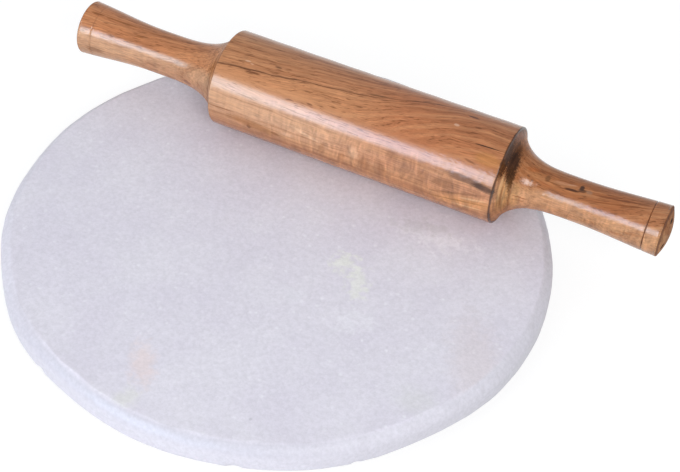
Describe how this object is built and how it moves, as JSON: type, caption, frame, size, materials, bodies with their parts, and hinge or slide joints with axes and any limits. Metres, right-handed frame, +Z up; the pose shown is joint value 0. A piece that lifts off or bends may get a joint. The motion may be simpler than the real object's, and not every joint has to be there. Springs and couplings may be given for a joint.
{
  "type": "chakla rolling board",
  "caption": "Round white marble rolling board on button feet, with a one-piece turned wooden rolling pin that rolls across its flat top.",
  "frame": {"origin": "under the slab's centre, on the plane that the feet stand on", "axes": "+Z up out of the rolling surface; +X along the rolling pin's axis, towards the handle on the right in the picture; +Y towards the side of the board that the pin lies on"},
  "size_m": [0.3048, 0.254, 0.0701],
  "materials": {
    "marble": "honed white marble, hand-eased edges",
    "foot_marble": "sawn and turned white marble, unpolished",
    "resin": "cured stone-bonding resin",
    "varnished_wood": "lathe-turned hardwood under glossy clear varnish"
  },
  "bodies": {
    "board": {"slab": "marble", "foot_1": "foot_marble", "foot_2": "foot_marble", "foot_3": "foot_marble", "foot_bed_1": "resin", "foot_bed_2": "resin", "foot_bed_3": "resin"},
    "pin": {"rolling_pin": "varnished_wood"}
  },
  "joints": [
    {"name": "pin_travel", "type": "slide", "parent": "board", "child": "pin", "axis": [0, 1, 0], "range_m": [-0.148, 0.025]}
  ]
}
